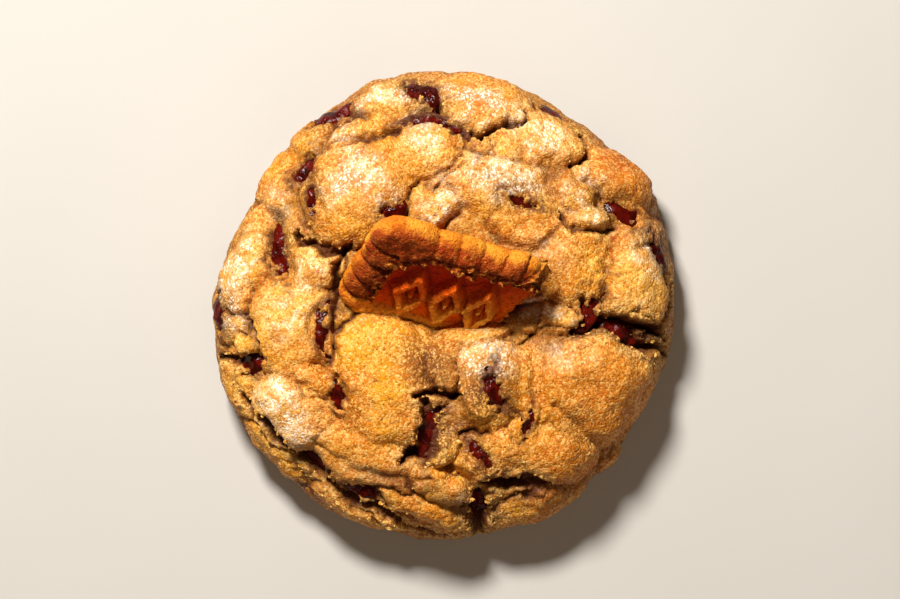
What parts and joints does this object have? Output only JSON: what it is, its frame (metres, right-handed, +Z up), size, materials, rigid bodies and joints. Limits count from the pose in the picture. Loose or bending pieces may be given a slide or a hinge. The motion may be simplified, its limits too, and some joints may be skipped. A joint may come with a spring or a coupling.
{
  "type": "chocolate chunk cookie with a biscuit half",
  "caption": "Thick round cookie with a cracked, lobed top, dark chocolate chunks and the broken half of a fluted spiced biscuit pushed slantwise into its top.",
  "frame": {"origin": "middle of the underside's box, on the surface the cookie rests on", "axes": "+Z up out of the top crust; +Y towards the top of the picture, behind the leaning biscuit half; +X to the right of the picture"},
  "size_m": [0.0928, 0.0942, 0.0439],
  "materials": {
    "dough": "baked golden crust, fine sandy grain, slight buttery sheen",
    "biscuit": "dry caramel-brown baked crumb",
    "chocolate": "melted and set dark chocolate, satin to glossy"
  },
  "bodies": {
    "root": {"cookie": "dough", "biscuit_piece": "biscuit", "chocolate_01": "chocolate", "chocolate_02": "chocolate", "chocolate_03": "chocolate", "chocolate_04": "chocolate", "chocolate_05": "chocolate", "chocolate_06": "chocolate", "chocolate_07": "chocolate", "chocolate_08": "chocolate", "chocolate_09": "chocolate", "chocolate_10": "chocolate", "chocolate_11": "chocolate", "chocolate_12": "chocolate", "chocolate_13": "chocolate", "chocolate_14": "chocolate", "chocolate_15": "chocolate", "chocolate_16": "chocolate", "chocolate_17": "chocolate", "chocolate_18": "chocolate", "chocolate_19": "chocolate", "chocolate_20": "chocolate", "chocolate_21": "chocolate", "chocolate_22": "chocolate", "chocolate_23": "chocolate", "chocolate_24": "chocolate", "chocolate_25": "chocolate"}
  },
  "joints": []
}
